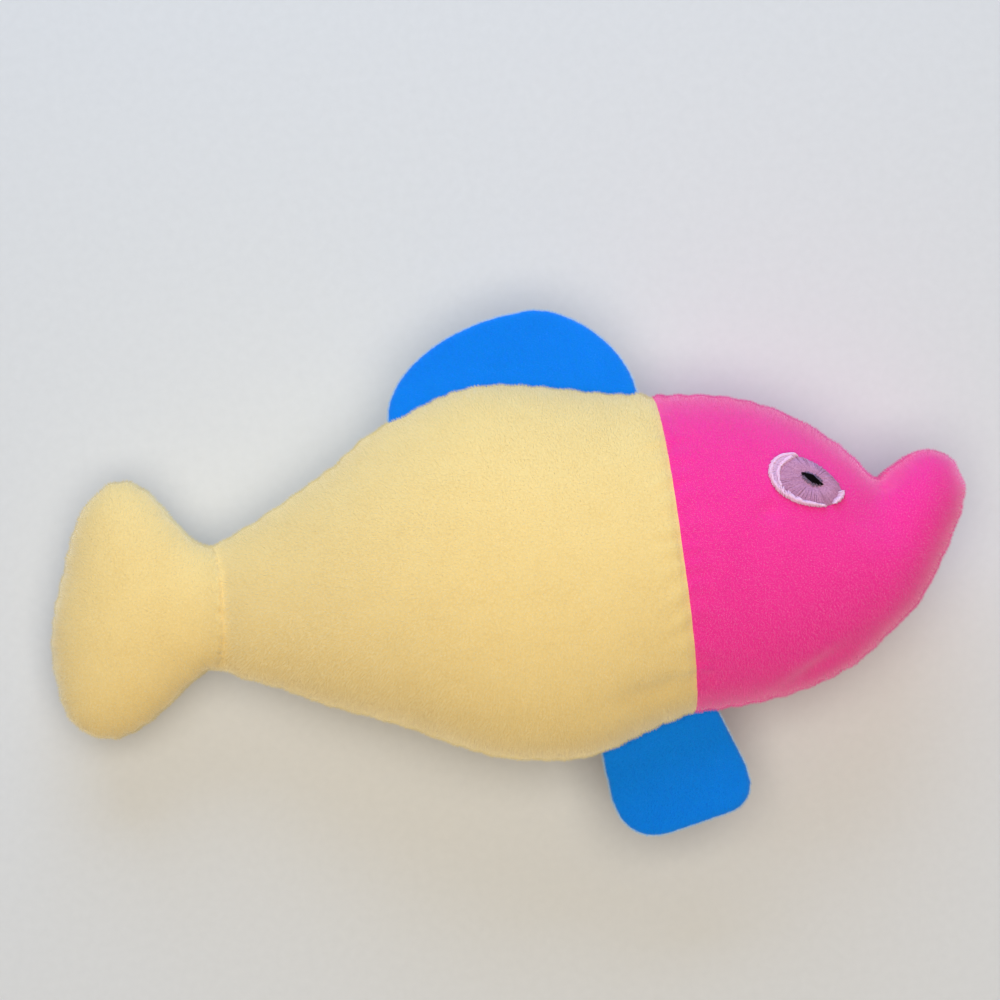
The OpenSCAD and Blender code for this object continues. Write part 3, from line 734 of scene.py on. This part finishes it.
LILAC_FLOSS = floss("lilac_rayon_floss", "#b0769c", "#d098ba", 0.55)
PALE_FLOSS = floss("pale_lilac_rayon_floss", "#cd9cc0", "#e6bfda", 0.5)
WHITE_FLOSS = floss("white_rayon_floss", "#eebcdc", "#f8d4ec", 0.5)
BLACK_FLOSS = floss("black_rayon_floss", "#040102", "#0d0509", 0.8, 0.08)
GREY_FLOSS = floss("grey_rayon_floss", "#5e4a60", "#937a96", 0.6)
FLOSS_THICK, FRINGE_THICK, PUPIL_THICK = 0.00034, 0.00018, 0.0004
RAYS, BORDER, FRINGE, BARS = 150, 260, 64, 13  # how many stitches there are of each kind


def on_eye(surface, up, along, across, lift):
    """A point of an eye, over the head's cover."""
    across *= narrowed(along, across > 0)
    u, v = along * EYE_LONG / 2, across * EYE_WIDE / 2
    x = EYE.x + u * math.cos(EYE_TURN) - v * math.sin(EYE_TURN)
    y = EYE.y + u * math.sin(EYE_TURN) + v * math.cos(EYE_TURN)
    hit, normal, _, _ = surface.ray_cast(Vector((x, y, SEAM_Z + 0.1 * up)), Vector((0, 0, -up)))
    return hit + normal * lift


def stitched(name, surface, up, pads, stitches):
    """One embroidered piece: low pads, and stitches from point to point over them.

    A pad is half its length and width, its middle, its turn, its height at the rim and in the middle, and its
    floss. A stitch is its two ends, its height at the ends and in the middle, its thickness and its floss.
    Lengths along and across are shares of half the eye's, and heights are over the cloth.
    """
    whole = bmesh.new()
    materials = []
    steps = 5
    for long, wide, (cx, cy), turn, low, high, material in pads:
        pad = bmesh.new()
        bmesh.ops.create_uvsphere(pad, u_segments=48, v_segments=16, radius=1)
        for v in pad.verts:
            u, w = v.co.x * long, v.co.y * wide
            along = cx + u * math.cos(turn) - w * math.sin(turn)
            across = cy + u * math.sin(turn) + w * math.cos(turn)
            v.co = on_eye(surface, up, along, across, low + (high - low) * max(v.co.z, -0.2))
        if up < 0:
            bmesh.ops.reverse_faces(pad, faces=pad.faces[:])
        for f in pad.faces:
            f.material_index = len(materials)
        materials.append(material)
        mesh = bpy.data.meshes.new("pad")
        pad.to_mesh(mesh)
        pad.free()
        whole.from_mesh(mesh)
        bpy.data.meshes.remove(mesh)
    for material in dict.fromkeys(s[-1] for s in stitches):
        line = bpy.data.curves.new("stitches", "CURVE")
        line.dimensions = "3D"
        line.bevel_resolution = 1
        line.bevel_depth = 1.0
        for a, b, low, high, thick, _ in [s for s in stitches if s[-1] is material]:
            spline = line.splines.new("POLY")
            spline.points.add(steps)
            for k, point in enumerate(spline.points):
                t = k / steps
                lift = low + (high - low) * math.sin(math.pi * t)
                place = on_eye(surface, up, a[0] + (b[0] - a[0]) * t, a[1] + (b[1] - a[1]) * t, lift)
                point.co = (*place, 1)
                point.radius = thick / 2
        thread = bpy.data.objects.new("stitches", line)
        scene.collection.objects.link(thread)
        mesh = bpy.data.meshes.new_from_object(thread.evaluated_get(bpy.context.evaluated_depsgraph_get()))
        first = len(whole.faces)
        whole.from_mesh(mesh)
        whole.faces.ensure_lookup_table()
        for f in whole.faces[first:]:
            f.material_index = len(materials)
        materials.append(material)
        bpy.data.objects.remove(thread)
        bpy.data.meshes.remove(mesh)
    obj = laid_out(name, whole)
    for material in materials:
        obj.data.materials.append(material)
    return obj


for where, up in (("near", 1), ("far", -1)):
    surface = surfaces[f"head_{where}_panel"]
    chance = random.Random(5)
    pupil, pupil_turn = (0.10, 0.13), math.radians(-5)
    # Rays of the white run out from the pupil almost to the rim.
    stitches = []
    for k in range(RAYS):
        a = math.tau * (k + chance.uniform(-0.4, 0.4)) / RAYS
        inner, outer = chance.uniform(0.22, 0.34), chance.uniform(0.86, 0.97)
        start = (pupil[0] + inner * math.cos(a), pupil[1] + inner * math.sin(a))
        end = (outer * math.cos(a), outer * math.sin(a))
        stitches.append((start, end, 0.0004, 0.0008 + chance.uniform(0, 0.0001), FLOSS_THICK, LILAC_FLOSS))
    # The border is wide at the rear end, ragged below, and a short mark in front. Angles run round the eye
    # from its front end, in degrees.
    for k in range(BORDER):
        a = math.tau * (k + chance.uniform(-0.3, 0.3)) / BORDER
        rear = math.exp(-((math.degrees(a) - 178) / 52) ** 4)
        under = math.exp(-((math.degrees(a) - 268) / 42) ** 4)
        front = math.exp(-(((math.degrees(a) + 40) % 360 - 32) / 22) ** 6)
        band = 0.25 * rear + 0.17 * under + 0.13 * front
        if band < 0.06:
            continue
        outer = 1.0 + chance.uniform(-0.02, 0.03)
        ragged = band * chance.uniform(0.5, 1.2 + 0.3 * under)
        lean = 0.10 * (1 - front)
        for near, far, high, material in (
            (outer - band, outer, 0.0010, PALE_FLOSS),
            (outer - (0.07 if rear > 0.5 else ragged), outer, 0.0012, WHITE_FLOSS),
            (outer - band * 1.05, outer - band * 0.75, 0.0012, WHITE_FLOSS),
        )[:3 if rear > 0.5 else 2]:
            start = (near * math.cos(a - lean), near * math.sin(a - lean))
            end = (far * math.cos(a + lean), far * math.sin(a + lean))
            stitches.append((start, end, 0.0004, high + chance.uniform(0, 0.0001), FLOSS_THICK, material))
    white = stitched(
        f"{where}_eye_white_stitching", surface, up,
        [(0.985, 0.985, (0, 0), 0, 0.0, 0.00065, LILAC_FLOSS)], stitches,
    )
    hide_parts(f"{where}_eye_white")
    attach(white, "body")
    # The pupil is a row of black bars, with a fine grey fringe round it.
    stitches = []
    for k in range(FRINGE):
        a = math.tau * (k + chance.uniform(-0.4, 0.4)) / FRINGE
        inner, outer = 0.7, chance.uniform(1.0, 1.35)
        start = (pupil[0] + inner * 0.24 * math.cos(a), pupil[1] + inner * 0.13 * math.sin(a))
        end = (pupil[0] + outer * 0.24 * math.cos(a), pupil[1] + outer * 0.22 * math.sin(a))
        stitches.append((start, end, 0.0008, 0.0011, FRINGE_THICK, GREY_FLOSS))
    for k in range(BARS):
        off = (k - (BARS - 1) / 2) / (BARS / 2)
        reach = 0.30 * (1 - off * off) ** 0.9 * chance.uniform(0.94, 1.05)
        start = (pupil[0] - reach, pupil[1] + 0.14 * off + 0.05)
        end = (pupil[0] + reach, pupil[1] + 0.14 * off - 0.05)
        stitches.append((start, end, 0.0009, 0.0013, PUPIL_THICK, BLACK_FLOSS))
    black = stitched(
        f"{where}_eye_pupil_stitching", surface, up,
        [(0.25, 0.12, pupil, pupil_turn, 0.0006, 0.0011, BLACK_FLOSS)], stitches,
    )
    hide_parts(f"{where}_eye_pupil")
    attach(black, "body")


# The filling: white polyester fibre, teased out and pushed into the cover, so it is lumpy and its surface
# is a web of fine crimped hairs. The tail's filling ends in a round knob that lies in the body's.
HAIRS_TO_METRE, CLUMPS_TO_METRE = 900.0, 60.0  # crimps of 1.1 mm, clumps of 17 mm
WAD_GAP, WAD_LUMP = 0.0009, 0.0006  # how far it stays inside the cover, and how lumpy it is
fibre, tree, shader, coordinates = finish_of("white_polyester_fibrefill")
web = add(
    tree, "ShaderNodeTexNoise",
    {"Vector": coordinates, "Scale": HAIRS_TO_METRE, "Detail": 6.0, "Distortion": 2.5},
)
clump = add(tree, "ShaderNodeTexNoise", {"Vector": coordinates, "Scale": CLUMPS_TO_METRE, "Detail": 3.0})
both = add(tree, "ShaderNodeMath", {0: web.outputs["Fac"], 1: clump.outputs["Fac"]}, operation="MULTIPLY")
tint = add(tree, "ShaderNodeValToRGB", {"Fac": both.outputs["Value"]})
tint.color_ramp.elements[0].color = linear("#d9d8d4")
tint.color_ramp.elements[0].position = 0.12
tint.color_ramp.elements[1].color = linear("#fafaf7")
tint.color_ramp.elements[1].position = 0.4
tree.links.new(tint.outputs["Color"], shader.inputs["Base Color"])
bump = add(tree, "ShaderNodeBump", {"Height": web.outputs["Fac"], "Strength": 0.6, "Distance": 0.0004})
tree.links.new(bump.outputs["Normal"], shader.inputs["Normal"])
shader.inputs["Roughness"].default_value = 0.95
shader.inputs["Sheen Weight"].default_value = 0.4

for name in FILLINGS:
    wad = laid_out(name.replace("_filling", "_fibrefill"), copied([name]))
    remeshed(wad, 0.002)
    evened(wad, 4)
    co, no = points(wad.data), normals(wad.data)
    lumps = np.array([noise.noise(Vector(p * 160)) + 0.5 * noise.noise(Vector(p * 420)) for p in co])
    put_points(wad.data, drawn_in(co - no * (WAD_GAP + WAD_LUMP * lumps)[:, None]))
    wad.data.materials.append(fibre)
    wad.data.shade_smooth()
    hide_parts(name)
    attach(wad, "tail" if name.startswith("tail") else "body")


# The seam threads: fine two-ply polyester, matched to the cloth. They run inside the seams, where they
# don't show, and the tail's own seams move with the tail.
def twisted(name, deep, pale):
    """Spun polyester sewing thread: matt, with the slant light and dark of its twist."""
    bands = 260.0  # light and dark over 2.4 mm, because the real twist of 0.6 mm is too fine to show
    material, tree, shader, coordinates = finish_of(name)
    ply = add(
        tree, "ShaderNodeTexWave", {"Vector": coordinates, "Scale": bands, "Distortion": 1.0},
        bands_direction="DIAGONAL",
    )
    dye = add(tree, "ShaderNodeValToRGB", {"Fac": ply.outputs["Fac"]})
    dye.color_ramp.elements[0].color = linear(deep)
    dye.color_ramp.elements[1].color = linear(pale)
    tree.links.new(dye.outputs["Color"], shader.inputs["Base Color"])
    shader.inputs["Roughness"].default_value = 0.75
    return material


CREAM_THREAD = twisted("cream_spun_polyester_thread", "#cdb983", "#eddfb8")
PINK_THREAD = twisted("pink_spun_polyester_thread", "#b92c70", "#e35a9e")
for seam, colour, body in (
    ("back", "cream", "body"), ("belly", "cream", "body"), ("head", "pink", "body"),
    ("tail", "cream", "tail"), ("neck", "pink", "body"), ("waist", "cream", "tail"),
):
    thread = laid_out(f"{seam}_seam_stitching", copied([f"{seam}_seam_thread"]))
    refined(thread, 2)
    put_points(thread.data, drawn_in(points(thread.data)))
    thread.data.materials.append(CREAM_THREAD if colour == "cream" else PINK_THREAD)
    thread.data.shade_smooth()
    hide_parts(f"{seam}_seam_thread")
    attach(thread, body)


# The squeaker in the middle of the filling: a blown polythene bulb, a moulded plug pressed into its neck
# and a brass reed across the plug's air hole.
def moulded(name, deep, pale, rough, metallic=0.0):
    """A moulded or stamped finish: faint flow marks, and a surface that isn't quite even."""
    marks_to_metre = 220.0  # flow marks 4.5 mm wide
    material, tree, shader, coordinates = finish_of(name)
    flow = add(tree, "ShaderNodeTexNoise", {"Vector": coordinates, "Scale": marks_to_metre, "Detail": 4.0})
    dye = add(tree, "ShaderNodeValToRGB", {"Fac": flow.outputs["Fac"]})
    dye.color_ramp.elements[0].color = linear(deep)
    dye.color_ramp.elements[1].color = linear(pale)
    tree.links.new(dye.outputs["Color"], shader.inputs["Base Color"])
    bump = add(tree, "ShaderNodeBump", {"Height": flow.outputs["Fac"], "Strength": 0.15, "Distance": 0.0002})
    tree.links.new(bump.outputs["Normal"], shader.inputs["Normal"])
    shader.inputs["Roughness"].default_value = rough
    shader.inputs["Metallic"].default_value = metallic
    return material


for name, material in (
    ("squeaker_bulb", moulded("milky_blown_polythene", "#ddd8c6", "#efeadb", 0.4)),
    ("squeaker_plug", moulded("white_moulded_polythene", "#cfcfcf", "#e2e2e0", 0.35)),
    ("squeaker_reed", moulded("stamped_brass_reed", "#b8924a", "#d3b068", 0.3, 1.0)),
):
    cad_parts[name].data.materials.clear()
    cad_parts[name].data.materials.append(material)

# A pale studio floor, a large soft lamp overhead and a cool window lamp on the back fin's side, and the
# camera straight over the toy, turned so that the toy lies as it does in the picture.
FLOOR_HALF, GRAINS_TO_METRE = 3, 400.0  # a paper grain of 2.5 mm, coarse enough to show
SENSOR, RISE, PICTURE_WIDE = 36, 0.70, 0.275  # in mm; metres over the outline seam, and across it
PICTURE_TURN = math.radians(-7)
bm = bmesh.new()
bmesh.ops.create_grid(bm, x_segments=1, y_segments=1, size=FLOOR_HALF)
floor = laid_out("floor", bm)
paper, tree, shader, coordinates = finish_of("pale_studio_paper")
grain = add(tree, "ShaderNodeTexNoise", {"Vector": coordinates, "Scale": GRAINS_TO_METRE})
tint = add(tree, "ShaderNodeValToRGB", {"Fac": grain.outputs["Fac"]})
tint.color_ramp.elements[0].color = linear("#d8d8d8")
tint.color_ramp.elements[1].color = linear("#dedede")
tree.links.new(tint.outputs["Color"], shader.inputs["Base Color"])
shader.inputs["Roughness"].default_value = 0.9
floor.data.materials.append(paper)

# Each lamp: its place, size, power and colour. Both point at the middle of the toy.
for name, place, size, power, colour in (
    ("key", (0.02, 0.0, 1.10), 0.9, 10.4, (1.0, 0.94, 0.82)),
    ("window", (0.0, 1.00, 0.42), 0.9, 10.6, (0.35, 0.59, 1.0)),
):
    lamp = bpy.data.lights.new(name, "AREA")
    lamp.size = size
    lamp.energy = power
    lamp.color = colour
    obj = bpy.data.objects.new(name, lamp)
    obj.location = place
    obj.rotation_euler = (Vector((0, 0, 0.03)) - Vector(place)).to_track_quat("-Z", "Y").to_euler()
    scene.collection.objects.link(obj)
world = bpy.data.worlds.new("studio")
world.use_nodes = True
world.node_tree.nodes["Background"].inputs["Color"].default_value = (1.0, 0.92, 0.80, 1)
world.node_tree.nodes["Background"].inputs["Strength"].default_value = 0.15
scene.world = world
scene.view_settings.view_transform = "Standard"

camera = bpy.data.cameras.new("camera")
camera.sensor_width = SENSOR
camera.lens = SENSOR * RISE / PICTURE_WIDE
obj = bpy.data.objects.new("camera", camera)
obj.location = (0.0011, 0.0188, SEAM_Z + RISE)
obj.rotation_euler = (0, 0, PICTURE_TURN)
scene.collection.objects.link(obj)
scene.camera = obj
